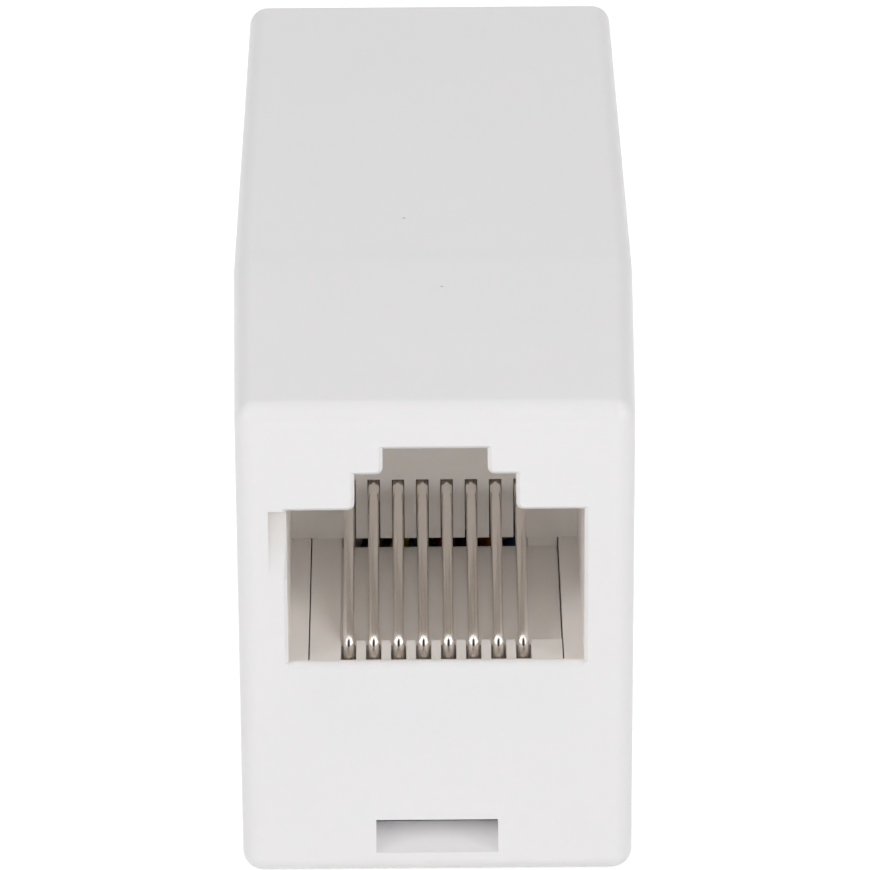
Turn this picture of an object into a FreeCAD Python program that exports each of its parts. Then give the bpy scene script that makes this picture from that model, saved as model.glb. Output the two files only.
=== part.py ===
import FreeCAD, Part
import math
import os

# RJ45 inline coupler: two eight-way modular jacks back to back in a two-piece snap shell.
#
# Frame: +Z up, the front jack faces -Y, the rear jack faces +Y, and the origin is the middle
# of the flat underside.  All sizes are in millimetres.
#
# Each jack is drawn once in its own "jack frame": the end face lies on y = 0, y grows into the
# body, x = 0 is the middle and z = 0 is the underside.  The front half is the jack frame moved
# back by half the length; the rear half is the jack frame turned half a turn about Z.

# ---------------------------------------------------------------- outer body
body_length = 42.0             # end face to end face
body_width = 16.6              # at the seam, where the shells open in the mould and are widest
body_height = 21.55            # at the seam
front_width_draft = 0.65       # how much narrower the front face is than the seam
front_height_draft = 0.2
rear_width_draft = 0.3
rear_height_draft = 0.15
edge_radius = 0.8              # long outer edges and the edges of the end faces

# ---------------------------------------------------------------- shell walls
floor_wall = 1.0               # underside
roof_wall = 1.5
side_wall = 1.5
end_wall = 1.5                 # end face, below the jack
back_wall = 1.5                # wall behind the plug, which carries the comb
rim_length = 1.6               # open rim of the front shell, behind the back wall

# ---------------------------------------------------------------- plug opening
opening_floor = 9.88           # height of the plug's floor above the underside
opening_width = 11.96
opening_height = 6.89
shoulder_width = 6.49          # wider step of the clip notch
shoulder_height = 1.59
clip_width = 4.2               # narrow step of the clip notch
clip_height = 1.14
opening_depth = 11.1           # end face to the back wall
strike_depth = 1.5             # wall that the plug's clip catches behind
notch_corner = 0.3             # rounding of the notch's plastic corners
mouth_chamfer = 0.15
sill_depth = 0.3               # strip of end wall in front of the contact carrier
sill_round = 0.3

key_width = 0.73               # keying recess beside the opening, deepest at its upper edge
key_height = 3.05
key_depth = 0.2

# ---------------------------------------------------------------- contacts
contact_count = 8
contact_pitch = 1.016
wire_diameter = 0.46
bend_radius = 0.5              # centre line of the two bends round the carrier's nose
bend_setback = 2.28            # end face to the centre of the bends
crown_height = 0.2             # wire's centre line above the plug's floor, over the nose
wire_end_reach = 1.1           # free end behind the front of the comb

comb_side_clearance = 0.03     # wire to the tooth on each side
comb_slot_height = 2.74        # at the front of the wall
comb_slope = 0.24              # climb of the slots' ceilings towards the rear, as the wires climb
comb_end_clearance = 0.05      # free end to the top of its slot

# ---------------------------------------------------------------- contact carrier
carrier_side_land = 1.58       # outer contact to the carrier's side
carrier_thickness = 2.4
carrier_overhang = 1.0         # carrier behind the back wall
carrier_clearance = 0.05       # carrier to rail, each side
land_depth = 2.0               # end face to the rear of the raised front land
land_ramp = 0.25               # length of the slope behind the land
plug_relief = 0.42             # depth of the bay under the wires, behind the land
bay_clearance = 0.1            # outer wire to the side of the bay, and of the window behind it

nose_side_clearance = 0.08     # wire to the side of its slot in the nose
nose_groove_depth = 0.62       # groove in the land, in front of the wire's hole
nose_front_clearance = 0.05    # wire to the front of its hole
wire_clearance = 0.02          # wire to the groove under the plate
tail_rise = 0.5                # tails and leads above the underside of the plate
lead_trough_start = 5.9        # end face to the front of the trough
trough_clearance = 0.1         # over the crimps and leads, and beside the outer ones

ear_reach = 0.35               # stop ears at the carrier's rear corners
barb_reach = 0.25              # snap barbs on the carrier's sides
barb_length = 1.2
barb_depth = 9.0               # end face to the front of the barb
barb_height = 1.0
barb_clearance = 0.05

# ---------------------------------------------------------------- rails under the carrier
rail_lip = 0.55                # rail's reach under the carrier
rail_thickness = 1.1
gusset_thickness = 0.8
gusset_drop = 2.2
gusset_depths = (4.2, 8.4)     # end face to the middle of each gusset

# ---------------------------------------------------------------- crimps and leads
crimp_wall = 0.18              # hexagonal sleeve, across the flats
crimp_length = 2.2
crimp_start = 8.6              # end face to the front of the crimp sleeve
crimp_clearance = 0.01         # sleeve bore over the wire
lead_diameter = 0.8            # over the insulation
layer_clearance = 0.3          # between the leads where they cross
fan_setback = 0.9              # carrier's rear end to the first turn of a lead
level_share = 0.4              # share of the way between the turns that runs level
cross_squeeze = 0.4            # how far the leads draw together there
arc_share = 0.45               # share of the shorter run that an arc may use

# Round stock that repeats is drawn with flats, at the area of the round section.
wire_sides = 8
lead_sides = 6
crimp_sides = 6

# ---------------------------------------------------------------- joint between the shells
lip_length = 1.2               # rear shell's tongue inside the front shell
lip_thickness = 0.5
lip_clearance = 0.05

latch_slot_width = 5.0         # slot low in the front face, where a blade reaches the latch
latch_slot_sill = 1.05         # lower edge of the slot above the underside
latch_slot_height = 1.55
latch_slot_rise = 0.65         # how much the slot's floor climbs through the end wall
latch_width = 4.4              # snap arm along the shell's floor
latch_thickness = 1.1
latch_nose_depth = 2.8         # front face to the tip of the latch
latch_nose_length = 0.9
latch_nose_ramp = 0.3
catch_width = 5.0
catch_height = 0.6
catch_length = 1.2
catch_flat = 0.6               # top of the catch, in front of its ramp
latch_clearance = 0.05
latch_root_length = 4.0        # foot of the arm on the rear shell's floor

# ---------------------------------------------------------------- values worked out from these
half_length = body_length / 2
front_face_width = body_width - front_width_draft
front_face_height = body_height - front_height_draft
rear_face_width = body_width - rear_width_draft
rear_face_height = body_height - rear_height_draft
back_wall_rear = opening_depth + back_wall
front_shell_length = back_wall_rear + rim_length
rear_shell_length = body_length - front_shell_length
chamber_width = min(front_face_width, rear_face_width) - 2 * side_wall
chamber_top = min(front_face_height, rear_face_height) - roof_wall
opening_top = opening_floor + opening_height
shoulder_top = opening_top + shoulder_height
clip_top = shoulder_top + clip_height

wire_radius = wire_diameter / 2
contact_span = (contact_count - 1) * contact_pitch
comb_slot_width = wire_diameter + 2 * comb_side_clearance
wire_end_depth = opening_depth + wire_end_reach
crimp_width = wire_diameter + 2 * (crimp_clearance + crimp_wall)
crimp_corner = crimp_width / 2 / math.cos(math.pi / crimp_sides)
crimp_rear = crimp_start + crimp_length
tail_end_depth = crimp_start + crimp_length / 2

carrier_width = contact_span + 2 * carrier_side_land
channel_width = carrier_width + 2 * carrier_clearance
carrier_bottom = opening_floor - carrier_thickness
carrier_rear = back_wall_rear + carrier_overhang
bay_floor = opening_floor - plug_relief
bay_half_width = contact_span / 2 + wire_radius + bay_clearance
rail_bottom = carrier_bottom - rail_thickness
lead_axis = carrier_bottom + tail_rise
trough_ceiling = lead_axis + max(crimp_corner, lead_diameter / 2) + trough_clearance
trough_width = contact_span + max(crimp_width, lead_diameter) + 2 * trough_clearance
nose_slot_width = wire_diameter + 2 * nose_side_clearance
nose_hole_front = bend_setback - bend_radius - wire_radius - nose_front_clearance
layer_pitch = lead_diameter + layer_clearance

latch_bottom = floor_wall + catch_height + latch_clearance
latch_top = latch_bottom + latch_thickness
cut_over = 1.0                 # how far cutters run past a face

lead_colours = ("blue", "orange", "black", "red", "green", "yellow", "brown", "white")


def vec(x, y, z):
    return FreeCAD.Vector(x, y, z)


def slab(width, y0, y1, z0, z1, middle=0.0):
    """A block centred on x = middle."""
    return Part.makeBox(width, y1 - y0, z1 - z0, vec(middle - width / 2, y0, z0))


def side_profile(outline, width, middle=0.0):
    """A (y, z) outline carried across the width, centred on x = middle."""
    points = [vec(middle - width / 2, y, z) for y, z in outline]
    face = Part.Face(Part.makePolygon(points + points[:1]))
    return face.extrude(vec(width, 0, 0))


def corner_arc(before, here, after, radius):
    """Start, end and arc of a rounded corner; radius 0 keeps the corner sharp."""
    if radius == 0:
        return here, here, None
    towards_before = (before - here).normalize()
    towards_after = (after - here).normalize()
    half_angle = towards_before.getAngle(towards_after) / 2
    reach = radius / math.tan(half_angle)
    bisector = (towards_before + towards_after).normalize()
    apex = here + bisector * (radius / math.sin(half_angle) - radius)
    start = here + towards_before * reach
    end = here + towards_after * reach
    return start, end, Part.Arc(start, apex, end).toShape()


def rounded_outline(corners, y):
    """A closed wire in the plane y through (x, z, radius) corners."""
    points = [vec(x, y, z) for x, z, radius in corners]
    count = len(corners)
    turns = []
    for index in range(count):
        after = points[(index + 1) % count]
        turns.append(corner_arc(points[index - 1], points[index], after, corners[index][2]))
    edges = []
    for index, (start, end, arc) in enumerate(turns):
        if arc is not None:
            edges.append(arc)
        edges.append(Part.makeLine(end, turns[(index + 1) % count][0]))
    return Part.Wire(edges)


def regular_outline(sides, corner_radius, centre):
    """A regular polygon of an even number of sides, with a flat on each side of x."""
    points = []
    for index in range(sides):
        angle = 2 * math.pi * (index + 0.5) / sides
        points.append(centre + vec(math.cos(angle), 0, math.sin(angle)) * corner_radius)
    return Part.makePolygon(points + points[:1])


def stock_outline(sides, diameter, centre):
    """The section of round stock, drawn with flats at the same area."""
    corner_radius = diameter / 2 * math.sqrt(2 * math.pi / (sides * math.sin(2 * math.pi / sides)))
    return regular_outline(sides, corner_radius, centre)


def both_sides(shape):
    """The shape and its mirror image across x = 0."""
    return [shape, shape.mirror(vec(0, 0, 0), vec(1, 0, 0))]


def contact_x(pin):
    """Place across the jack of contact 1 to 8; contact 1 is on the +x side."""
    return ((contact_count + 1) / 2 - pin) * contact_pitch


# ================================================================ shells

def end_corners(width, height, y):
    return [vec(-width / 2, y, 0), vec(width / 2, y, 0),
            vec(width / 2, y, height), vec(-width / 2, y, height)]


def drafted_block(end_width, end_height, length):
    """Six flat faces: the sides and roof lean outwards from the end face to the seam."""
    end = end_corners(end_width, end_height, 0)
    seam = end_corners(body_width, body_height, length)
    rings = [end, seam]
    for index in range(4):
        after = (index + 1) % 4
        rings.append([end[index], end[after], seam[after], seam[index]])
    faces = [Part.Face(Part.makePolygon(ring + ring[:1])) for ring in rings]
    return Part.makeSolid(Part.makeShell(faces))


def outer_block(end_width, end_height, length):
    """The outside of a shell, with its long edges and its end face rounded over."""
    block = drafted_block(end_width, end_height, length)
    edges = [edge for edge in block.Edges if edge.BoundBox.YMin < length / 2]
    return block.makeFillet(edge_radius, edges)


def opening_outline(grow, y):
    """The plug opening with its two-step clip notch, grown outwards by grow."""
    half_main = opening_width / 2 + grow
    half_shoulder = shoulder_width / 2 + grow
    half_clip = clip_width / 2 + grow
    inner_corner = notch_corner - grow
    right = [(half_main, opening_floor, 0), (half_main, opening_top + grow, 0),
             (half_shoulder, opening_top + grow, inner_corner),
             (half_shoulder, shoulder_top + grow, 0),
             (half_clip, shoulder_top + grow, inner_corner),
             (half_clip, clip_top + grow, 0)]
    left = [(-x, z, radius) for x, z, radius in reversed(right)]
    return rounded_outline(right + left, y)


def plug_opening():
    """Everything that the plug's space takes out of the end of a shell.

    Behind the strike wall the narrow notch widens, so that the plug's clip can spring up."""
    straight = Part.Face(opening_outline(0, 0)).extrude(vec(0, opening_depth, 0))
    mouth = Part.makeLoft([opening_outline(mouth_chamfer, 0), opening_outline(0, mouth_chamfer)],
                          True, True)
    sill_cut = slab(opening_width, 0, sill_round, opening_floor - sill_round, opening_floor)
    sill_core = Part.makeCylinder(sill_round, opening_width,
                                  vec(-opening_width / 2, sill_round, opening_floor - sill_round),
                                  vec(1, 0, 0))
    strike_pocket = slab(shoulder_width, strike_depth, opening_depth, opening_top, clip_top)
    return straight.fuse([mouth, strike_pocket, sill_cut.cut(sill_core)])


def keying_recess():
    """The recess beside the opening: nothing deep at its foot, deepest level with the opening."""
    outline = [(-cut_over, opening_top - key_height), (0, opening_top - key_height),
               (key_depth, opening_top), (-cut_over, opening_top)]
    return side_profile(outline, 2 * key_width, -opening_width / 2)


def comb_slots():
    """Eight slots through the foot of the back wall; the teeth between them part the wires."""
    ceiling = opening_floor + comb_slot_height
    outline = [(opening_depth, opening_floor), (opening_depth, ceiling),
               (back_wall_rear, ceiling + comb_slope * back_wall), (back_wall_rear, opening_floor)]
    return [side_profile(outline, comb_slot_width, contact_x(pin))
            for pin in range(1, contact_count + 1)]


def barb_outline(reach, clearance):
    """Plan of a snap barb: a ramp at its front and a square back, as (y, x) from the side."""
    return [(barb_depth - clearance, 0), (barb_depth + barb_length + clearance, 0),
            (barb_depth + barb_length + clearance, reach)]


def side_barb(half_width, reach, clearance, z0, z1):
    """A barb that stands out from x = half_width between two heights."""
    outline = barb_outline(reach, clearance)
    points = [vec(half_width + x, y, z0) for y, x in outline]
    face = Part.Face(Part.makePolygon(points + points[:1]))
    return face.extrude(vec(0, 0, z1 - z0))


def carrier_channel():
    """The track that the contact carrier slides along, with pockets for its barbs."""
    track = slab(channel_width, sill_depth, back_wall_rear, carrier_bottom, opening_floor)
    gap_between_rails = slab(channel_width - 2 * (rail_lip + carrier_clearance), sill_depth,
                             back_wall_rear, rail_bottom, carrier_bottom)
    pocket_reach = barb_reach + barb_clearance
    pocket = side_barb(carrier_width / 2, pocket_reach, barb_clearance, carrier_bottom,
                       carrier_bottom + barb_height + barb_clearance)
    return [track, gap_between_rails] + both_sides(pocket)


def undercroft():
    """The hollow below the rails, with gussets left standing under each rail."""
    hollow = slab(chamber_width, end_wall, back_wall_rear, floor_wall, rail_bottom)
    reach = (chamber_width - channel_width) / 2 + rail_lip + carrier_clearance
    for middle in gusset_depths:
        points = [vec(chamber_width / 2, middle - gusset_thickness / 2, rail_bottom),
                  vec(chamber_width / 2 - reach, middle - gusset_thickness / 2, rail_bottom),
                  vec(chamber_width / 2, middle - gusset_thickness / 2, rail_bottom - gusset_drop)]
        face = Part.Face(Part.makePolygon(points + points[:1]))
        gusset = face.extrude(vec(0, gusset_thickness, 0))
        hollow = hollow.cut(both_sides(gusset))
    return hollow


def chamber(length):
    """The space behind the back wall, open at the seam."""
    return slab(chamber_width, back_wall_rear, length + cut_over, floor_wall, chamber_top)


def jack_shell(end_width, end_height, length):
    """What both shells share: the outside, the plug opening, the comb and the carrier's track."""
    shell = outer_block(end_width, end_height, length)
    cutters = [plug_opening(), keying_recess(), undercroft(), chamber(length)]
    cutters += comb_slots()
    cutters += carrier_channel()
    return shell.cut(cutters)


def lip_ring(y0, y1, gap):
    """The tongue round the seam: the chamber's outline grown by the lip, less a gap."""
    grow = lip_thickness - gap
    return slab(chamber_width + 2 * grow, y0, y1, floor_wall - grow, chamber_top + grow)


def catch():
    """The cross rib on the front shell's floor that the latch snaps over."""
    front = latch_nose_depth + latch_nose_length + latch_clearance
    outline = [(front, floor_wall), (front, floor_wall + catch_height),
               (front + catch_flat, floor_wall + catch_height),
               (front + catch_length, floor_wall)]
    return side_profile(outline, catch_width)


def latch_slot():
    """The slot through the end wall, whose floor climbs inwards as a ramp for the blade."""
    top = latch_slot_sill + latch_slot_height
    inside = latch_slot_sill + latch_slot_rise
    outline = [(-cut_over, latch_slot_sill), (0, latch_slot_sill), (end_wall, inside),
               (end_wall + cut_over, inside), (end_wall + cut_over, top), (-cut_over, top)]
    return side_profile(outline, latch_slot_width)


def front_shell():
    shell = jack_shell(front_face_width, front_face_height, front_shell_length)
    rebate = lip_ring(front_shell_length - lip_length - lip_clearance,
                      front_shell_length + cut_over, 0)
    return shell.cut([rebate, latch_slot()]).fuse(catch()).removeSplitter()


def latch_arm():
    """The rear shell's snap arm, drawn in the front jack's frame."""
    nose_rear = latch_nose_depth + latch_nose_length
    root_end = front_shell_length + latch_root_length
    nose_bottom = floor_wall + latch_clearance
    outline = [(latch_nose_depth, nose_bottom + latch_nose_ramp),
               (latch_nose_depth + latch_nose_ramp, nose_bottom),
               (nose_rear, nose_bottom),
               (nose_rear, latch_bottom),
               (front_shell_length, latch_bottom),
               (front_shell_length, floor_wall),
               (root_end, floor_wall),
               (root_end, latch_bottom),
               (root_end - latch_thickness, latch_top),
               (latch_nose_depth, latch_top)]
    return side_profile(outline, latch_width)


def rear_shell():
    shell = jack_shell(rear_face_width, rear_face_height, rear_shell_length)
    lip = lip_ring(rear_shell_length, rear_shell_length + lip_length, lip_clearance)
    lip = lip.fuse(lip_ring(rear_shell_length - lip_length, rear_shell_length, lip_clearance))
    lip = lip.cut(slab(chamber_width, rear_shell_length - lip_length - cut_over,
                       rear_shell_length + lip_length + cut_over, floor_wall, chamber_top))
    arm = latch_arm()
    arm.rotate(vec(0, 0, 0), vec(0, 0, 1), 180)
    arm.translate(vec(0, body_length, 0))
    return shell.fuse([lip, arm]).removeSplitter()


# ================================================================ contact carrier

def nose_slot(pin):
    """The way of one wire through the nose: a groove in the land, then a hole down."""
    top = opening_floor + cut_over
    before = sill_depth - cut_over
    below = carrier_bottom - cut_over
    groove_floor = opening_floor - nose_groove_depth
    nose = bend_setback + wire_clearance
    outline = [(before, top), (before, groove_floor), (nose_hole_front, groove_floor),
               (nose_hole_front, below), (nose, below), (nose, top)]
    return side_profile(outline, nose_slot_width, contact_x(pin))


def tail_groove(pin):
    """The groove under the plate for the tail of one wire."""
    ceiling = lead_axis + wire_radius + wire_clearance
    width = wire_diameter + 2 * wire_clearance
    return slab(width, bend_setback, lead_trough_start, carrier_bottom, ceiling, contact_x(pin))


def wire_bay():
    """The sunk bay under the wires, which runs out on the +x side."""
    top = opening_floor + cut_over
    outline = [(land_depth, opening_floor), (land_depth + land_ramp, bay_floor),
               (opening_depth, bay_floor), (opening_depth, top), (land_depth, top)]
    bay_width = bay_half_width + carrier_width / 2 + cut_over
    return side_profile(outline, bay_width, bay_width / 2 - bay_half_width)


def lead_window():
    """The gap in the plate behind the comb, where the leads lie open to the chamber."""
    return slab(2 * bay_half_width, opening_depth, carrier_rear + cut_over, carrier_bottom,
                opening_floor + cut_over)


def carrier():
    """The moulded plate that holds a jack's eight wires.

    Beside the window it is full height, so that it closes the gap under the back wall."""
    plate = slab(carrier_width, sill_depth, carrier_rear, carrier_bottom, opening_floor)
    ear_width = ear_reach + carrier_clearance
    ear = slab(ear_width, back_wall_rear, carrier_rear, carrier_bottom, opening_floor,
               (carrier_width + ear_width) / 2)
    barb = side_barb(carrier_width / 2, barb_reach, 0, carrier_bottom, carrier_bottom + barb_height)
    plate = plate.fuse(both_sides(ear) + both_sides(barb))
    trough = slab(trough_width, lead_trough_start, carrier_rear + cut_over, carrier_bottom,
                  trough_ceiling)
    cutters = [wire_bay(), lead_window(), trough]
    for pin in range(1, contact_count + 1):
        cutters.append(nose_slot(pin))
        cutters.append(tail_groove(pin))
    return plate.cut(cutters).removeSplitter()


# ================================================================ formed wire contacts

def contact_path():
    """Centre line of a contact as points in the y-z plane: tail, two bends, crown, free end."""
    low = vec(0, bend_setback, lead_axis + bend_radius)
    high = vec(0, bend_setback, opening_floor + crown_height - bend_radius)
    tail_end = vec(0, tail_end_depth, lead_axis)
    slot_ceiling = opening_floor + comb_slot_height + comb_slope * wire_end_reach
    free_end_height = slot_ceiling - comb_end_clearance - wire_radius
    free_end = vec(0, wire_end_depth, free_end_height)
    reach = free_end - high
    rise = math.atan2(reach.z, reach.y) - math.asin(bend_radius / reach.Length)
    crown = high + vec(0, -math.sin(rise), math.cos(rise)) * bend_radius
    shoulder_angle = (math.pi / 2 + rise) / 2
    high_middle = high + vec(0, -math.cos(shoulder_angle), math.sin(shoulder_angle)) * bend_radius
    low_middle = low + vec(0, -1, -1).normalize() * bend_radius
    low_start = low - vec(0, 0, bend_radius)
    low_end = low - vec(0, bend_radius, 0)
    high_start = high - vec(0, bend_radius, 0)
    parts = [Part.LineSegment(tail_end, low_start), Part.Arc(low_start, low_middle, low_end),
             Part.LineSegment(low_end, high_start), Part.Arc(high_start, high_middle, crown),
             Part.LineSegment(crown, free_end)]
    return Part.Wire([part.toShape() for part in parts])


def swept_stock(path, start, sides, diameter):
    """Stock of one section along a path of straight runs and tangent arcs."""
    return path.makePipeShell([stock_outline(sides, diameter, start)], True, False)


def contact():
    """One spring wire, drawn on x = 0."""
    start = vec(0, tail_end_depth, lead_axis)
    return swept_stock(contact_path(), start, wire_sides, wire_diameter)


def crimp():
    """The sleeve that joins a wire's tail to a lead, drawn on x = 0, open at its front."""
    start = vec(0, crimp_start, lead_axis)
    sleeve = Part.Face(regular_outline(crimp_sides, crimp_corner, start))
    sleeve = sleeve.extrude(vec(0, crimp_length, 0))
    bore = Part.Face(stock_outline(wire_sides, wire_diameter + 2 * crimp_clearance, start))
    return sleeve.cut(bore.extrude(vec(0, tail_end_depth - crimp_start, 0)))


# ================================================================ leads

def rounded_route(points):
    """Straight runs through the points, joined by tangent arcs as large as the runs allow."""
    edges = []
    radii = []
    last = points[0]
    for before, here, after in zip(points, points[1:], points[2:]):
        back = before - here
        ahead = after - here
        turn = math.pi - back.getAngle(ahead)
        reach = arc_share * min(back.Length, ahead.Length)
        radius = reach / math.tan(turn / 2)
        radii.append(radius)
        back.normalize()
        ahead.normalize()
        bisector = (back + ahead).normalize()
        apex = here + bisector * (radius / math.cos(turn / 2) - radius)
        arc_start = here + back * reach
        arc_end = here + ahead * reach
        edges.append(Part.LineSegment(last, arc_start).toShape())
        edges.append(Part.Arc(arc_start, apex, arc_end).toShape())
        last = arc_end
    edges.append(Part.LineSegment(last, points[-1]).toShape())
    return Part.Wire(edges), radii


def lead_route(pin):
    """From the front carrier's trough to the rear one's, crossing over in its own layer.

    The jacks face opposite ways, so contact 1 is on opposite sides of the body and every lead
    crosses all the others in the middle."""
    side = contact_x(pin)
    layer = lead_axis + (pin - (contact_count + 1) / 2) * layer_pitch
    start = half_length - crimp_rear
    fan = half_length - carrier_rear - fan_setback
    first_half = [vec(side, -start, lead_axis), vec(side, -fan, lead_axis),
                  vec(side * cross_squeeze, -fan * level_share, layer)]
    second_half = [vec(-point.x, -point.y, point.z) for point in reversed(first_half)]
    return first_half + second_half


def lead(pin):
    """One insulated lead, from crimp to crimp."""
    points = lead_route(pin)
    path, radii = rounded_route(points)
    jacket = swept_stock(path, points[0], lead_sides, lead_diameter)
    expected = math.pi * lead_diameter ** 2 / 4 * path.Length
    print("lead", pin, "length %.2f" % path.Length, "radii", ["%.2f" % r for r in radii],
          "volume ratio %.4f" % (jacket.Volume / expected))
    return jacket


# ================================================================ placing and writing

def at_front(shape):
    placed = shape.copy()
    placed.translate(vec(0, -half_length, 0))
    return placed


def at_rear(shape):
    placed = shape.copy()
    placed.rotate(vec(0, 0, 0), vec(0, 0, 1), 180)
    placed.translate(vec(0, half_length, 0))
    return placed


def across(shape, pin):
    """The shape moved from x = 0 to the place of a contact."""
    placed = shape.copy()
    placed.translate(vec(contact_x(pin), 0, 0))
    return placed


def write(name, shape):
    solids = shape.Solids
    if len(solids) != 1 or not shape.isValid():
        raise ValueError(name + " is not one sound solid")
    solids[0].exportStep("parts/" + name + ".step")
    print(name, "volume %.2f" % solids[0].Volume)


def main():
    os.makedirs("parts", exist_ok=True)
    write("front_shell", at_front(front_shell()))
    write("rear_shell", at_rear(rear_shell()))
    plate = carrier()
    wire = contact()
    sleeve = crimp()
    for end, place in (("front", at_front), ("rear", at_rear)):
        write(end + "_carrier", place(plate))
        for pin in range(1, contact_count + 1):
            write("%s_contact_%d" % (end, pin), place(across(wire, pin)))
            write("%s_crimp_%d" % (end, pin), place(across(sleeve, pin)))
    for pin in range(1, contact_count + 1):
        write("lead_%d_%s" % (pin, lead_colours[pin - 1]), lead(pin))


main()
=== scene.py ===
# %% [markdown]
# # An inline coupler for network leads
#
# The object is a small white moulded shell with a modular jack in each end. A plug clicks into
# either jack, and eight sprung wires in one jack are joined to the eight wires in the other.
# The cells below give each piece its finish, and swap the wires, sleeves and leads, which are
# drawn with flats in the construction model, for smooth ones.

import math

import bmesh
import bpy
from mathutils import Matrix, Vector


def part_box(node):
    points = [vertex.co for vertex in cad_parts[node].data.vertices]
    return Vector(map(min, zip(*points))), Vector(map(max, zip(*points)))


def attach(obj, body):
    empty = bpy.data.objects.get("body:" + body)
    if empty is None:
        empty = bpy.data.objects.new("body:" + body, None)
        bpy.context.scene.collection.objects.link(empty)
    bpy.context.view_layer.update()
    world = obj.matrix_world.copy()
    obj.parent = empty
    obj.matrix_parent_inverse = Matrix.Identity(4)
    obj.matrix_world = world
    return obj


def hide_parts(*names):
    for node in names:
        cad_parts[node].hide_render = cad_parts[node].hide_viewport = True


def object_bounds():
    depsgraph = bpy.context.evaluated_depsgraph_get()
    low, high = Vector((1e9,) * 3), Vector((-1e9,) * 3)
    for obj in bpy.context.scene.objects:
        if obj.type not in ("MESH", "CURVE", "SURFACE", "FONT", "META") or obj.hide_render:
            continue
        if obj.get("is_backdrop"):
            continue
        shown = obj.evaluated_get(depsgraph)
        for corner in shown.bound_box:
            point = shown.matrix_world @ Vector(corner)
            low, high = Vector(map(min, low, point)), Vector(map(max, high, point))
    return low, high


MM = 0.001
COUNT = 8                      # wires in a jack
ENDS = ("front", "rear")

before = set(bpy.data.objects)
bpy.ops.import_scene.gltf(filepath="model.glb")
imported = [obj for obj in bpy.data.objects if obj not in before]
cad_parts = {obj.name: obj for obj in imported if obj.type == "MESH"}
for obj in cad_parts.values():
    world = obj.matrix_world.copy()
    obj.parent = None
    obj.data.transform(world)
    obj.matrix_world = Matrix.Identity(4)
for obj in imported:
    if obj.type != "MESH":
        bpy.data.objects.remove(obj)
cad_low, cad_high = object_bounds()
size_mm = [round(v / MM, 2) for v in cad_high - cad_low]
print("construction", size_mm, "mm,", len(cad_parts), "nodes")

# %% [markdown]
# ## The camera
#
# A long lens from about a quarter of a metre away, looking down on the front jack by 26 degrees.
# Such a view keeps the roof and the face almost free of perspective, so that the body's slight
# taper towards its far end can be seen.  The place is worked out from the object's own box, so the
# camera would follow if the body grew.

# %% Aim the camera
LENS = 270.6
VIEW_DISTANCE = 260 * MM
VIEW_AZIMUTH, VIEW_ELEVATION, VIEW_ROLL = [math.radians(a) for a in (-0.176, 26.25, -0.335)]
BELOW_ROOF = 1.39 * MM         # how far under the roof's front edge the camera aims


def aim(thing, target, roll=0.0):
    """Turn an object's -Z axis to a point, then roll it about that axis."""
    turn = (target - thing.location).to_track_quat("-Z", "Y").to_matrix()
    thing.rotation_euler = (turn @ Matrix.Rotation(roll, 3, "Z")).to_euler()


def around(target, distance, azimuth, elevation):
    """The point at a distance from a target; azimuth 0 is straight in front of it."""
    flat = distance * math.cos(elevation)
    return target + Vector((flat * math.sin(azimuth), -flat * math.cos(azimuth),
                            distance * math.sin(elevation)))


look_at = Vector((0, cad_low.y, cad_high.z - BELOW_ROOF))
camera = bpy.data.objects.new("camera", bpy.data.cameras.new("camera"))
bpy.context.scene.collection.objects.link(camera)
camera.data.lens = LENS
camera.data.clip_start = 10 * MM
camera.location = around(look_at, VIEW_DISTANCE, VIEW_AZIMUTH, VIEW_ELEVATION)
aim(camera, look_at, VIEW_ROLL)
bpy.context.scene.camera = camera
print("camera at", [round(v / MM, 1) for v in camera.location], "mm")

# %% [markdown]
# ## A socket that can be calculated with
#
# Shaders and Geometry Nodes are both trees of nodes, and a formula drawn as Math nodes is hard to
# read.  `Signal` wraps one output socket and overloads the arithmetic operators, so
# `1 - cloud * 0.2` adds the Math nodes that say the same.

# %% Signals
class Signal:
    def __init__(self, bench, socket):
        self.bench = bench
        self.socket = socket

    def math(self, operation, first, second=0.0):
        return self.bench.node("ShaderNodeMath", {"operation": operation}, {0: first, 1: second})

    def __add__(self, other):
        return self.math("ADD", self, other)

    def __sub__(self, other):
        return self.math("SUBTRACT", self, other)

    def __rsub__(self, other):
        return self.math("SUBTRACT", other, self)

    def __mul__(self, other):
        return self.math("MULTIPLY", self, other)

    def __truediv__(self, other):
        return self.math("DIVIDE", self, other)

    def __rtruediv__(self, other):
        return self.math("DIVIDE", other, self)

    def __gt__(self, other):
        return self.math("GREATER_THAN", self, other)

    def __lt__(self, other):
        return self.math("LESS_THAN", self, other)

    def __mod__(self, other):
        return self.math("FLOORED_MODULO", self, other)

    def cosine(self):
        return self.math("COSINE", self)

    def angle_to(self, other):
        return self.math("ARCTAN2", self, other)

    def larger(self, other):
        return self.math("MAXIMUM", self, other)

    def smaller(self, other):
        return self.math("MINIMUM", self, other)

    def unsigned(self):
        """The value without its sign."""
        return self.larger(0 - self)

    __radd__ = __add__
    __rmul__ = __mul__


# %% [markdown]
# ## A bench for node trees
#
# `Bench.node` is the one place where a node is made: its settings first, then its sockets, which
# take a plain value or another signal.  It gives back the output that the next step needs, as a
# signal.

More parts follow.
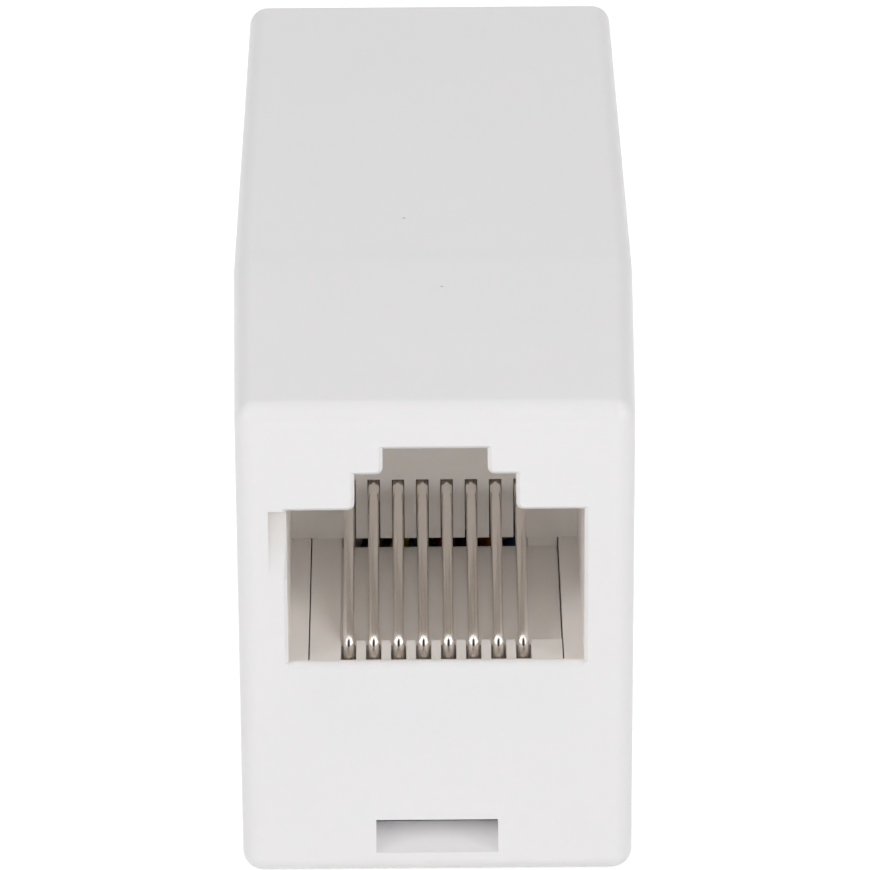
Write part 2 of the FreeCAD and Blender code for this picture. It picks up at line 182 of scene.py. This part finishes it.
# %% The bench
class Bench:
    """A node tree with one method that makes nodes."""

    def __init__(self, tree):
        self.tree = tree
        self.tree.nodes.clear()

    def feed(self, socket, value):
        if isinstance(value, Signal):
            self.tree.links.new(value.socket, socket)
        else:
            socket.default_value = value

    def node(self, kind, settings, sockets, result=0):
        made = self.tree.nodes.new(kind)
        for name, value in settings.items():
            setattr(made, name, value)
        for name, value in sockets.items():
            self.feed(made.inputs[name], value)
        return Signal(self, made.outputs[result]) if len(made.outputs) else None

    def axes(self, vector):
        """The x, y and z of a vector."""
        parts = self.node("ShaderNodeSeparateXYZ", {}, {0: vector}).socket.node
        return [Signal(self, axis) for axis in parts.outputs]


# %% [markdown]
# ## A bench for finishes
#
# Every finish is a Principled surface.  Values that are the same all over, such as the index of
# refraction, are set on the shader's own sockets.  Only colour, roughness and the normal vary,
# with noise or masks on Object coordinates, so a pattern stays where it is on the piece and needs
# no unwrapping.

# %% Shader helpers
class Finish(Bench):
    def __init__(self, name, **fixed):
        self.material = bpy.data.materials.new(name)
        self.material.use_nodes = True
        super().__init__(self.material.node_tree)
        uniform = {socket.replace("_", " "): value for socket, value in fixed.items()}
        surface = self.node("ShaderNodeBsdfPrincipled", {}, uniform)
        self.node("ShaderNodeOutputMaterial", {}, {"Surface": surface})
        self.shader = surface.socket.node
        self.place = self.node("ShaderNodeTexCoord", {}, {}, "Object")

    def noise(self, size, detail=2.0, stretch=(1, 1, 1)):
        """Cloudy noise from 0 to 1 whose features are about `size` metres across."""
        place = self.node("ShaderNodeMapping", {}, {"Vector": self.place, "Scale": stretch})
        return self.node("ShaderNodeTexNoise", {},
                         {"Vector": place, "Scale": 1 / size, "Detail": detail}, "Fac")

    def blend(self, share, first, second):
        """A colour between two colours."""
        return self.node("ShaderNodeMix", {"data_type": "RGBA"}, {0: share, 6: first, 7: second}, 2)

    def tint(self, cloud, colour, darker, lighter):
        """A colour that drifts with a cloud, from a darker share of itself to a lighter one."""
        return self.blend(cloud, shade(colour, darker), shade(colour, lighter))

    def relief(self, height, depth, edge_radius=None):
        """Raise the surface by height (0 to 1) times a depth in metres, over rounded edges."""
        sockets = {"Height": height, "Distance": depth, "Strength": 1.0}
        if edge_radius:
            sockets["Normal"] = self.node("ShaderNodeBevel", {"samples": 3}, {"Radius": edge_radius})
        self.vary("Normal", self.node("ShaderNodeBump", {}, sockets))

    def vary(self, socket, signal):
        self.feed(self.shader.inputs[socket], signal)


def shade(colour, share=1.0):
    """A colour made lighter or darker, in the four numbers that a socket takes."""
    return tuple(c * share for c in colour) + (1.0,)


def grey(level):
    return (level, level, level, 1.0)


# %% [markdown]
# ## White moulded plastic
#
# The shells are moulded in a filled white plastic with a satin face.  Up close such a face has
# two things that a flat colour lacks: a spark-eroded grain of a tenth of a millimetre, and slow
# changes of gloss where the melt flowed.  A little subsurface light softens the shadows inside
# the jack.
#
# No moulded edge is perfectly sharp.  The shells' outer corners are rounded in the construction
# itself, while the small carriers leave it to the shader's Bevel node, which bends the light at
# an edge and leaves the shape alone.

# %% Whites and the parts of the grain
SHELL_WHITE = (0.93, 0.915, 0.92)
# painted light: the warm tint of light bounced inside a jack, on the walls of the openings
SHELL_PAINTED_BOUNCE = (0.97, 0.925, 0.885)
# partly the carriers' own warmer plastic, partly painted light: the warm tint of light bounced
# inside a jack
CARRIER_WHITE_AND_BOUNCE = (0.955, 0.905, 0.86)
# painted shade: the deep part of each keying recess
KEY_PAINTED_SHADE = (0.76, 0.73, 0.70)
SPECK_GREY = (0.60, 0.58, 0.57)
CLOUD_SHARES = (0.985, 1.01)   # how far a white drifts, darker and lighter

CLOUD_SIZE, FLOW_SIZE, GRAIN_SIZE = 6 * MM, 2.5 * MM, 0.11 * MM
FLOW_STRETCH = (1.0, 0.35, 1.0)
GRAIN_DEPTH = 0.0025 * MM
CARRIER_EDGE = 0.06 * MM
SCATTER_DEPTH = 0.6 * MM
SCATTER_COLOUR = (1.0, 0.8, 0.6)
print("grain", round(GRAIN_SIZE / MM, 3), "mm across")

# %% [markdown]
# Light that gets into a jack is scattered from wall to wall many times, and a white plastic keeps
# a little less of its blue each time.  That warm bounced light is painted into the colour: the walls
# of the openings are painted a creamier white than the outside.  The keying recess beside each
# opening gets painted shade, darker where it is deepest.  Two specks lie in the roof, as they do
# in many mouldings.  An image could hold such marks, but a mask worked out from the place of a
# point needs no file and stays sharp at any distance.

# %% Masks on the shells
END_DEPTH = 0.15 * MM          # the painted creamier white, standing in for bounced light, starts this far behind an end face
JACK_HALF_WIDTH = 6.1 * MM
JACK_FOOT, JACK_TOP = 9.5 * MM, 19.7 * MM
KEY_NEAR, KEY_FAR = 5.99 * MM, 6.75 * MM
KEY_FOOT, KEY_TOP = 13.7 * MM, 16.8 * MM
KEY_DEPTH = 0.2 * MM
ROOF_SHARE = 0.9               # the roof is what lies above this share of the height
ROOF_SPECKS = ((-1.2 * MM, -3.1 * MM, 0.07 * MM), (0.35 * MM, -9.9 * MM, 0.06 * MM))


def painted_bounce_share(finish):
    """Where bounced light is painted: 1 on the walls of the two openings, 0 elsewhere on a shell."""
    x, y, z = finish.axes(finish.place)
    across = JACK_HALF_WIDTH - x.unsigned()
    upright = (z - JACK_FOOT).smaller(JACK_TOP - z)
    return (cad_high.y - y.unsigned() > END_DEPTH) * (across > 0.0) * (upright > 0.0)


def painted_key_shade(finish):
    """How much shade is painted in a keying recess: 0 level with an end face, rising to 1 in its
    deep part.
    """
    x, y, z = finish.axes(finish.place)
    across = x.unsigned()
    beside = (x * y > 0.0) * (across > KEY_NEAR) * (KEY_FAR > across)
    upright = (z > KEY_FOOT) * (KEY_TOP > z)
    return beside * upright * ((cad_high.y - y.unsigned()) / KEY_DEPTH).smaller(1.0)


def roof_spot(finish, across, along, radius):
    """1 inside a round spot on the roof, 0 elsewhere."""
    x, y, z = finish.axes(finish.place)
    away = (x - across) * (x - across) + (y - along) * (y - along)
    return (radius * radius > away) * (z > ROOF_SHARE * cad_high.z)


# %% Finish of the shells and the carriers
def moulded_plastic(name, colour, gloss, edge_radius=None, painted_bounce_colour=None, specks=()):
    finish = Finish(name, IOR=1.5, Subsurface_Weight=0.12, Subsurface_Scale=SCATTER_DEPTH,
                    Subsurface_Radius=SCATTER_COLOUR)
    cloud = finish.noise(CLOUD_SIZE, detail=3.0)
    flow = finish.noise(FLOW_SIZE, stretch=FLOW_STRETCH)
    grain = finish.noise(GRAIN_SIZE)
    skin = finish.tint(cloud, colour, *CLOUD_SHARES)
    if painted_bounce_colour:
        # painted light: the walls of the openings take the warm tint of bounced light
        inner = finish.tint(cloud, painted_bounce_colour, *CLOUD_SHARES)
        skin = finish.blend(painted_bounce_share(finish), skin, inner)
        # painted shade in the deep part of each keying recess
        skin = finish.blend(painted_key_shade(finish), skin, shade(KEY_PAINTED_SHADE))
    for speck in specks:
        skin = finish.blend(roof_spot(finish, *speck), skin, shade(SPECK_GREY))
    finish.vary("Base Color", skin)
    finish.vary("Roughness", gloss + flow * 0.08 - cloud * 0.04)
    finish.relief(grain * 0.7 + flow * 0.3, GRAIN_DEPTH, edge_radius)
    return finish


shell_finish = moulded_plastic("white_shell_moulding", SHELL_WHITE, 0.36,
                               painted_bounce_colour=SHELL_PAINTED_BOUNCE, specks=ROOF_SPECKS)
carrier_finish = moulded_plastic("white_carrier_moulding", CARRIER_WHITE_AND_BOUNCE, 0.42, CARRIER_EDGE)
print("plastics:", shell_finish.material.name, carrier_finish.material.name)

# %% [markdown]
# ## Drawn and plated wire
#
# The contacts are drawn through a die, so their only texture runs along the wire: faint lines
# that break the highlight lengthways.  Nickel under a thin flash of gold reads as a warm grey.
# Mapping stretches the noise along Y, which is the way that the wires run in the jack.  The
# sleeves are tinned, which is colder and duller.

# %% Finish of the wires and the sleeves
GOLD_BRIGHT, GOLD_DULL = (0.98, 0.94, 0.90), (0.91, 0.87, 0.83)
TIN_BRIGHT, TIN_DULL = (0.70, 0.70, 0.71), (0.56, 0.56, 0.57)
ALONG_WIRE = (1.0, 0.02, 0.35)
ALONG_SLEEVE = (1.0, 0.3, 1.0)
DIE_LINE = 0.05 * MM
DIE_DEPTH = 0.0008 * MM


def plated(name, bright, dull, gloss, stretch):
    finish = Finish(name, Metallic=1.0)
    cloud = finish.noise(0.8 * MM)
    lines = finish.noise(DIE_LINE, stretch=stretch)
    finish.vary("Base Color", finish.blend(cloud, shade(dull), shade(bright)))
    finish.vary("Roughness", gloss + lines * 0.12)
    finish.relief(lines, DIE_DEPTH)
    return finish


wire_finish = plated("plated_spring_wire", GOLD_BRIGHT, GOLD_DULL, 0.11, ALONG_WIRE)
sleeve_finish = plated("tinned_sleeve", TIN_BRIGHT, TIN_DULL, 0.30, ALONG_SLEEVE)
print("metals:", wire_finish.material.name, sleeve_finish.material.name)

# %% [markdown]
# ## Insulation
#
# Each lead inside has its own colour, so that the assembler can follow it across the body.  The
# jacket is extruded, which leaves it glossy with the faintest lines along its length.

# %% Finishes of the leads
JACKETS = {"blue": (0.06, 0.17, 0.45), "orange": (0.80, 0.27, 0.05),
           "black": (0.03, 0.03, 0.035), "red": (0.55, 0.04, 0.04),
           "green": (0.05, 0.32, 0.12), "yellow": (0.82, 0.62, 0.06),
           "brown": (0.24, 0.12, 0.06), "white": (0.80, 0.79, 0.76)}
ALONG_JACKET = (1.0, 0.04, 1.0)
EXTRUDED_LINE = 0.09 * MM
EXTRUDED_DEPTH = 0.0015 * MM


def jacket(colour_name):
    finish = Finish("jacket_" + colour_name, IOR=1.5)
    cloud = finish.noise(1.5 * MM)
    lines = finish.noise(EXTRUDED_LINE, stretch=ALONG_JACKET)
    finish.vary("Base Color", finish.tint(cloud, JACKETS[colour_name], 0.9, 1.06))
    finish.vary("Roughness", 0.28 + lines * 0.12)
    finish.relief(lines, EXTRUDED_DEPTH)
    return finish


jacket_finishes = {name: jacket(name) for name in JACKETS}
print("jackets:", ", ".join(jacket_finishes))

# %% [markdown]
# ## Mouldings with smooth shading
#
# The construction's meshes are loose triangles.  A copy is merged into one skin, its shading is
# smoothed where faces meet at a small angle, as on the rounded corners, and kept crisp at real
# edges.  Weighted normals stop the large flat faces from picking up a gradient at the corners.

# %% Take a moulding over from the construction
SMOOTH_ANGLE = math.radians(28)
MERGE_DISTANCE = 0.0005 * MM


def piece_from_mesh(name, mesh, finish):
    piece = bpy.data.objects.new(name, mesh)
    bpy.context.scene.collection.objects.link(piece)
    mesh.materials.clear()
    mesh.materials.append(finish.material)
    return piece


def merged_copy(node, name):
    """One closed skin with the same shape as a construction node."""
    skin = bmesh.new()
    skin.from_mesh(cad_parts[node].data)
    bmesh.ops.remove_doubles(skin, verts=skin.verts, dist=MERGE_DISTANCE)
    mesh = bpy.data.meshes.new(name)
    skin.to_mesh(mesh)
    skin.free()
    # The loose triangles carry stored normals, which no longer fit once the corners are merged.
    if "custom_normal" in mesh.attributes:
        mesh.attributes.remove(mesh.attributes["custom_normal"])
    return mesh


def moulding(node, name, finish):
    mesh = merged_copy(node, name)
    piece = piece_from_mesh(name, mesh, finish)
    mesh.shade_smooth()
    mesh.set_sharp_from_angle(angle=SMOOTH_ANGLE)
    weighted = piece.modifiers.new("even_shading", "WEIGHTED_NORMAL")
    weighted.keep_sharp = True
    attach(piece, "root")
    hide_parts(node)
    print(name, len(mesh.polygons), "triangles")


for end in ENDS:
    moulding(end + "_shell", end + "_shell_moulding", shell_finish)
    moulding(end + "_carrier", end + "_contact_carrier", carrier_finish)

# %% [markdown]
# ## Trees with named sizes
#
# Wires, sleeves and leads repeat or follow a line, which is work for Geometry Nodes.  Finished
# objects could be copied by hand, but a tree keeps its sizes as inputs and can be run again for
# the other jack.  `Builder` gives a tree its inputs and its end: Realize Instances turns the
# copies into real faces, and Set Material gives them their finish.  Its result is read off as a
# plain mesh.

# %% Geometry Nodes helpers
ROUND_ANGLE = 1.5 * SMOOTH_ANGLE
SOCKETS = {float: "NodeSocketFloat", int: "NodeSocketInt", tuple: "NodeSocketVector",
           bpy.types.Material: "NodeSocketMaterial"}


class Builder(Bench):
    """A Geometry Nodes tree with named inputs that ends in Realize Instances and Set Material."""

    def __init__(self, name, **sizes):
        group = bpy.data.node_groups.new(name, "GeometryNodeTree")
        super().__init__(group)
        self.named = {}
        group.interface.new_socket("Route", in_out="INPUT", socket_type="NodeSocketGeometry")
        for label, kind in sizes.items():
            made = group.interface.new_socket(label.replace("_", " "), in_out="INPUT",
                                              socket_type=SOCKETS[kind])
            self.named[label] = made.identifier
        group.interface.new_socket("Pieces", in_out="OUTPUT", socket_type="NodeSocketGeometry")
        self.route = self.node("NodeGroupInput", {}, {}, "Route")

    def size(self, label):
        return Signal(self, self.route.socket.node.outputs[label.replace("_", " ")])

    def row(self, piece, turn=(0, 0, 0)):
        """Repeat a piece along a straight row, from the tree's First, Pitch and Count."""
        places = self.node("GeometryNodeMeshLine", {"mode": "OFFSET"},
                           {"Count": self.size("Count"), "Start Location": self.size("First"),
                            "Offset": self.size("Pitch")})
        return self.node("GeometryNodeInstanceOnPoints", {},
                         {"Points": places, "Instance": piece, "Rotation": turn})

    def end(self, geometry):
        whole = self.node("GeometryNodeRealizeInstances", {}, {0: geometry})
        finished = self.node("GeometryNodeSetMaterial", {},
                             {0: whole, "Material": self.size("Material")})
        self.node("NodeGroupOutput", {}, {"Pieces": finished})

    def run(self, name, route, finish, **values):
        """Build the pieces along a route and return them as one plain mesh object."""
        maker = bpy.data.objects.new(name + "_maker", route)
        bpy.context.scene.collection.objects.link(maker)
        modifier = maker.modifiers.new("build", "NODES")
        modifier.node_group = self.tree
        values["Material"] = finish.material
        for label, value in values.items():
            modifier[self.named[label]] = value
        ready = maker.evaluated_get(bpy.context.evaluated_depsgraph_get())
        mesh = bpy.data.meshes.new_from_object(ready)
        maker.modifiers.clear()
        bpy.data.objects.remove(maker)
        mesh.name = name
        mesh.shade_smooth()
        mesh.set_sharp_from_angle(angle=ROUND_ANGLE)
        return piece_from_mesh(name, mesh, finish)


def route_mesh(points):
    """A line through points, as a mesh with edges and no faces."""
    mesh = bpy.data.meshes.new("route")
    edges = [(i, i + 1) for i in range(len(points) - 1)]
    mesh.from_pydata([tuple(p) for p in points], edges, [])
    return mesh


# %% [markdown]
# ## The spring wires
#
# A wire is bent twice, round the nose of its carrier, and then springs back and up into the comb
# of the wall behind the plug.  The route is four points, and a Geometry Nodes tree does the rest:
# it rounds the two bends, sweeps a circle along the line and repeats the wire at the pitch of the
# jack.  The tree's inputs are the sizes that a designer would change.

# %% The tree that makes a set of wires
def wire_tree():
    tree = Builder("spring_wire_set", Wire_radius=float, Bend_radius=float, Bend_steps=int,
                   Sides=int, Count=int, First=tuple, Pitch=tuple, Material=bpy.types.Material)
    line = tree.node("GeometryNodeMeshToCurve", {}, {0: tree.route})
    bent = tree.node("GeometryNodeFilletCurve", {"mode": "POLY"},
                     {"Curve": line, "Radius": tree.size("Bend_radius"),
                      "Count": tree.size("Bend_steps")})
    section = tree.node("GeometryNodeCurvePrimitiveCircle", {"mode": "RADIUS"},
                        {"Resolution": tree.size("Sides"), "Radius": tree.size("Wire_radius")})
    wire = tree.node("GeometryNodeCurveToMesh", {}, {0: bent, 1: section, "Fill Caps": True})
    tree.end(tree.row(wire))
    return tree


spring_wires = wire_tree()
print("tree:", spring_wires.tree.name, len(spring_wires.tree.nodes), "nodes")

# %% [markdown]
# The place of the wires comes from the construction: the sleeve's middle is where the tail ends,
# and the wire's own box gives the height of the tail, the front of the bends and the free end.
# The upper corner is where the upright run meets the line that leaves the bend towards the free
# end, so it is worked out from the tangent of the bend's circle.

# %% Make the wires of both jacks
WIRE_RADIUS = 0.23 * MM
BEND_RADIUS = 0.5 * MM
CROWN_HEIGHT = 0.2 * MM        # the bend's centre line over the top of the carrier
PITCH = (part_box("front_contact_1")[0].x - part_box("front_contact_8")[0].x) / (COUNT - 1)
SPAN = PITCH * (COUNT - 1)


def wire_route(end):
    """Tail end, the two corners round the nose, and the free end, on x = 0."""
    inwards = 1 if end == "front" else -1
    low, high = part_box(end + "_contact_1")
    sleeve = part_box(end + "_crimp_1")
    outer, inner = (low.y, high.y) if inwards > 0 else (high.y, low.y)
    upright = (outer * inwards) + WIRE_RADIUS
    crown_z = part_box(end + "_carrier")[1].z + CROWN_HEIGHT
    bend = Vector((upright + BEND_RADIUS, crown_z - BEND_RADIUS))
    free = Vector((inner * inwards, high.z - WIRE_RADIUS))
    reach = free - bend
    rise = math.atan2(reach.y, reach.x) - math.asin(BEND_RADIUS / reach.length)
    crown = bend + BEND_RADIUS * Vector((-math.sin(rise), math.cos(rise)))
    upper_z = crown.y - (crown.x - upright) * math.tan(rise)
    tail_z = low.z + WIRE_RADIUS
    tail_y = (sleeve[0].y + sleeve[1].y) / 2
    return [(0, tail_y, tail_z), (0, upright * inwards, tail_z), (0, upright * inwards, upper_z),
            (0, free.x * inwards, free.y)]


for end in ENDS:
    wires = spring_wires.run(end + "_spring_wires", route_mesh(wire_route(end)), wire_finish,
                             Wire_radius=WIRE_RADIUS, Bend_radius=BEND_RADIUS, Bend_steps=12,
                             Sides=24, Count=COUNT, First=(-SPAN / 2, 0.0, 0.0),
                             Pitch=(PITCH, 0.0, 0.0))
    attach(wires, "root")
    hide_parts(*[end + "_contact_%d" % pin for pin in range(1, COUNT + 1)])
    print(wires.name, len(wires.data.polygons), "faces, pitch", round(PITCH / MM, 3), "mm")

# %% [markdown]
# ## The crimped sleeves
#
# Each wire's tail and lead meet in a tinned sleeve.  It starts as a round tube and is pressed to
# six flats in the middle, which leaves a small round collar at each end.  One cylinder can do
# this: a field pulls the middle of the tube in towards a hexagon and leaves the ends alone.

# %% The tree that makes a set of sleeves
FLAT_ANGLE = math.radians(60)  # what one of the six flats takes up


def sleeve_tree():
    tree = Builder("crimp_sleeve_set", Radius=float, Length=float, Collar=float, Count=int,
                   First=tuple, Pitch=tuple, Material=bpy.types.Material)
    tube = tree.node("GeometryNodeMeshCylinder", {"fill_type": "NGON"},
                     {"Vertices": 36, "Side Segments": 24, "Radius": tree.size("Radius"),
                      "Depth": tree.size("Length")})
    x, y, z = tree.axes(tree.node("GeometryNodeInputPosition", {}, {}))
    sector = (y.angle_to(x) + FLAT_ANGLE / 2) % FLAT_ANGLE - FLAT_ANGLE / 2
    flat = math.cos(FLAT_ANGLE / 2) / sector.cosine()
    from_end = tree.size("Length") * 0.5 - z.unsigned()
    pressed = ((from_end / tree.size("Collar") - 0.5) * 2).smaller(1.0).larger(0.0)
    scale = 1 - pressed * (1 - flat)
    moved = tree.node("ShaderNodeCombineXYZ", {}, {0: x * scale, 1: y * scale, 2: z})
    shaped = tree.node("GeometryNodeSetPosition", {}, {0: tube, "Position": moved})
    tree.end(tree.row(shaped, turn=(math.radians(90), 0, 0)))
    return tree


crimp_sleeves = sleeve_tree()
print("tree:", crimp_sleeves.tree.name, len(crimp_sleeves.tree.nodes), "nodes")

# %% [markdown]
# A row of sleeves lies behind each carrier.  Its size and place are those of the first sleeve's
# box in the construction.

# %% Make the sleeves of both jacks
for end in ENDS:
    low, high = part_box(end + "_crimp_1")
    middle = (low + high) / 2
    sleeves = crimp_sleeves.run(end + "_crimp_sleeves", route_mesh([middle, high]), sleeve_finish,
                                Radius=(high.z - low.z) / 2, Length=high.y - low.y,
                                Collar=0.3 * MM, Count=COUNT,
                                First=(-SPAN / 2, middle.y, middle.z), Pitch=(PITCH, 0.0, 0.0))
    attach(sleeves, "root")
    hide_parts(*[end + "_crimp_%d" % pin for pin in range(1, COUNT + 1)])
    print(sleeves.name, len(sleeves.data.polygons), "faces")

# %% [markdown]
# ## The leads
#
# Contact 1 of one jack is on the other side of the body from contact 1 of the other, because the
# jacks face away from each other.  Every lead therefore crosses the rest, each at its own height.
# A lead is flexible, so its line is a smooth NURBS curve through a few control points, and a
# second tree sweeps the jacket along it.

# %% The tree that makes a lead
def lead_tree():
    tree = Builder("insulated_lead", Radius=float, Sides=int, Material=bpy.types.Material)
    line = tree.node("GeometryNodeMeshToCurve", {}, {0: tree.route})
    section = tree.node("GeometryNodeCurvePrimitiveCircle", {"mode": "RADIUS"},
                        {"Resolution": tree.size("Sides"), "Radius": tree.size("Radius")})
    tree.end(tree.node("GeometryNodeCurveToMesh", {}, {0: line, 1: section, "Fill Caps": True}))
    return tree


def smooth_route(points):
    """Points read from a quadratic NURBS curve with the given control points."""
    curve = bpy.data.curves.new("lead_line", "CURVE")
    curve.dimensions = "3D"
    spline = curve.splines.new("NURBS")
    spline.points.add(len(points) - 1)
    for control, point in zip(spline.points, points):
        control.co = (*point, 1.0)
    spline.order_u = 3
    spline.use_endpoint_u = True
    spline.resolution_u = 10
    holder = bpy.data.objects.new("lead_line", curve)
    bpy.context.scene.collection.objects.link(holder)
    ready = holder.evaluated_get(bpy.context.evaluated_depsgraph_get())
    mesh = bpy.data.meshes.new_from_object(ready)
    bpy.data.objects.remove(holder)
    return mesh


lead_sweep = lead_tree()
print("tree:", lead_sweep.tree.name, len(lead_sweep.tree.nodes), "nodes")

# %% [markdown]
# Four control points lead from a front sleeve to near the middle of the body.  The same four,
# given half a turn about the upright axis, lead on from there to the rear sleeve, so the two
# halves of a lead are alike.  The lines are those of the construction.

# %% Make the eight leads
LEAD_RADIUS = 0.4 * MM
LAYER_PITCH = 1.1 * MM         # from one crossing lead to the next above it
FAN_SETBACK = 0.9 * MM         # straight run behind the carrier before a lead turns
LEVEL_SHARE = 0.4              # where a lead reaches its layer, as a share of the turn's place
CROSS_SQUEEZE = 0.4            # how far to the side it is there, as a share of its sleeve's


def lead_points(pin):
    """Control points from the front sleeve to the rear one, on the line of the construction."""
    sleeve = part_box("front_crimp_%d" % pin)
    side = (sleeve[0].x + sleeve[1].x) / 2
    height = (sleeve[0].z + sleeve[1].z) / 2
    trough_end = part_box("front_carrier")[1].y
    turn = trough_end + FAN_SETBACK
    layer = height + (pin - (COUNT + 1) / 2) * LAYER_PITCH
    half = [Vector((side, sleeve[1].y, height)), Vector((side, trough_end, height)),
            Vector((side, turn, height)), Vector((side * CROSS_SQUEEZE, turn * LEVEL_SHARE, layer))]
    return half + [Vector((-p.x, -p.y, p.z)) for p in reversed(half)]


for pin, colour_name in enumerate(JACKETS, 1):
    node = "lead_%d_%s" % (pin, colour_name)
    piece = lead_sweep.run(node + "_jacket", smooth_route(lead_points(pin)),
                           jacket_finishes[colour_name], Radius=LEAD_RADIUS, Sides=20)
    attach(piece, "root")
    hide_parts(node)
print("leads:", COUNT, "each", len(piece.data.polygons), "faces")

# %% [markdown]
# ## Floor and room
#
# The object stands on a plain pale floor, which fills the underside of everything with soft
# light.  A camera ray that meets the floor or the world adds the glow of a white sweep, so the
# surroundings read white while the light on the object stays level.

# %% Floor
FLOOR_WIDTH = 6.0
FLOOR_GAP = 0.02 * MM          # keeps the floor clear of the faces that stand on it
FLOOR_GLOW = 0.55
CORNERS = ((-1, -1), (1, -1), (1, 1), (-1, 1))


def white_to_the_eye(bench):
    """1 for rays from the camera and from mirror-like or clear surfaces."""
    rays = [bench.node("ShaderNodeLightPath", {}, {}, kind)
            for kind in ("Is Camera Ray", "Is Glossy Ray", "Is Transmission Ray")]
    return rays[0].larger(rays[1]).larger(rays[2])


def sheet(name, width, height, finish):
    """A flat sheet round the origin, facing +Z."""
    mesh = bpy.data.meshes.new(name)
    mesh.from_pydata([(x * width / 2, y * height / 2, 0) for x, y in CORNERS], [], [(0, 1, 2, 3)])
    return piece_from_mesh(name, mesh, finish)


floor_finish = Finish("pale_floor", Roughness=0.6, Emission_Strength=1.0)
speckle = floor_finish.noise(1.2 * MM)
floor_finish.vary("Base Color", floor_finish.blend(speckle, grey(0.86), grey(0.9)))
glow = floor_finish.blend(white_to_the_eye(floor_finish), grey(0), grey(FLOOR_GLOW))
floor_finish.vary("Emission Color", glow)
floor = sheet("floor", FLOOR_WIDTH, FLOOR_WIDTH, floor_finish)
floor.data.transform(Matrix.Translation((0, 0, cad_low.z - FLOOR_GAP)))
floor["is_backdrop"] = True
print("floor", FLOOR_GAP / MM, "mm below the object")

# %% World
AMBIENT = 0.15

world = bpy.data.worlds.new("soft_room")
world.use_nodes = True
bpy.context.scene.world = world
room = Bench(world.node_tree)
strength = AMBIENT + white_to_the_eye(room) * (1 - AMBIENT)
surface = room.node("ShaderNodeBackground", {}, {"Color": grey(1), "Strength": strength})
room.node("ShaderNodeOutputWorld", {}, {"Surface": surface})
print("room light", AMBIENT)

# %% [markdown]
# ## Soft boxes
#
# Nine soft boxes light the object, most of them in pairs so that neither side goes grey.  The
# low, front, left and right ones are weak and reach into the jack.  As reflections they would
# blow out the bends of the wires, so glossy rays don't see them.  The boxes at the sides, far
# round and at the back make the highlights and light the long rounded edges and the roof.  A
# lamp's power is worked out from the level that it should give.

# %% Soft boxes
# azimuth, elevation, distance, width, height, level, seen in gloss
SOFTBOXES = {
    "low_front": (0, 8, 0.6, 0.40, 0.20, 0.06, False),
    "front": (0, 38, 0.5, 0.12, 0.20, 0.06, False),
    "left": (-32, 24, 0.5, 0.15, 0.30, 0.12, False),
    "right": (32, 24, 0.5, 0.15, 0.30, 0.12, False),
    "side_left": (-58, 30, 0.5, 0.12, 0.25, 0.21, True),
    "side_right": (58, 30, 0.5, 0.12, 0.25, 0.21, True),
    "far_left": (-110, 60, 0.5, 0.20, 0.40, 0.08, True),
    "far_right": (110, 60, 0.5, 0.20, 0.40, 0.08, True),
    "back": (180, 50, 0.5, 0.40, 0.30, 0.15, True),
}
centre = (cad_low + cad_high) / 2


def place_round(thing, azimuth, elevation, distance):
    """Put a lamp or a card round the object, in degrees and metres, and turn it to face it."""
    thing.location = around(centre, distance, math.radians(azimuth), math.radians(elevation))
    aim(thing, centre)


def softbox(name, azimuth, elevation, distance, width, height, level, in_gloss):
    """A soft box that lights a surface facing it to `level`, where 1 shows a colour as written."""
    lamp = bpy.data.lights.new(name, "AREA")
    lamp.shape = "RECTANGLE"
    lamp.size = width
    lamp.size_y = height
    lamp.energy = level * (math.pi * distance) ** 2
    box = bpy.data.objects.new(name, lamp)
    bpy.context.scene.collection.objects.link(box)
    place_round(box, azimuth, elevation, distance)
    box.visible_glossy = in_gloss


for place, values in SOFTBOXES.items():
    softbox(place + "_softbox", *values)

# %% [markdown]
# ## A dark card
#
# Bright metal looks like what stands round it, and in a white room it goes white.  The usual
# answer in a studio is a dark card in front of the object, which gives the bends of the wires a
# dark streak beside each highlight.  Only mirror-like surfaces see this one, so it takes no light
# away from the rest.

# %% Dark card
CARD_WIDTH, CARD_HEIGHT, CARD_DISTANCE = 0.26, 0.36, 0.3

card_finish = Finish("dark_card", Roughness=0.9)
card_finish.vary("Base Color", card_finish.blend(card_finish.noise(20 * MM), grey(0.02), grey(0.03)))
card = sheet("dark_card", CARD_WIDTH, CARD_HEIGHT, card_finish)
place_round(card, azimuth=0, elevation=20, distance=CARD_DISTANCE)
for ray in ("camera", "diffuse", "transmission", "shadow", "volume_scatter"):
    setattr(card, "visible_" + ray, False)
card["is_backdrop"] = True
print("card", CARD_WIDTH, "by", CARD_HEIGHT, "m")

# %% [markdown]
# ## Finish
#
# The view is set to the Standard transform, and the size of the looks is printed, so that it can be
# compared with the construction's size printed at the start.

# %% Print the size of the looks and finish
bpy.context.scene.view_settings.view_transform = "Standard"
low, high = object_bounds()
print("looks", [round(v / MM, 2) for v in high - low], "mm")
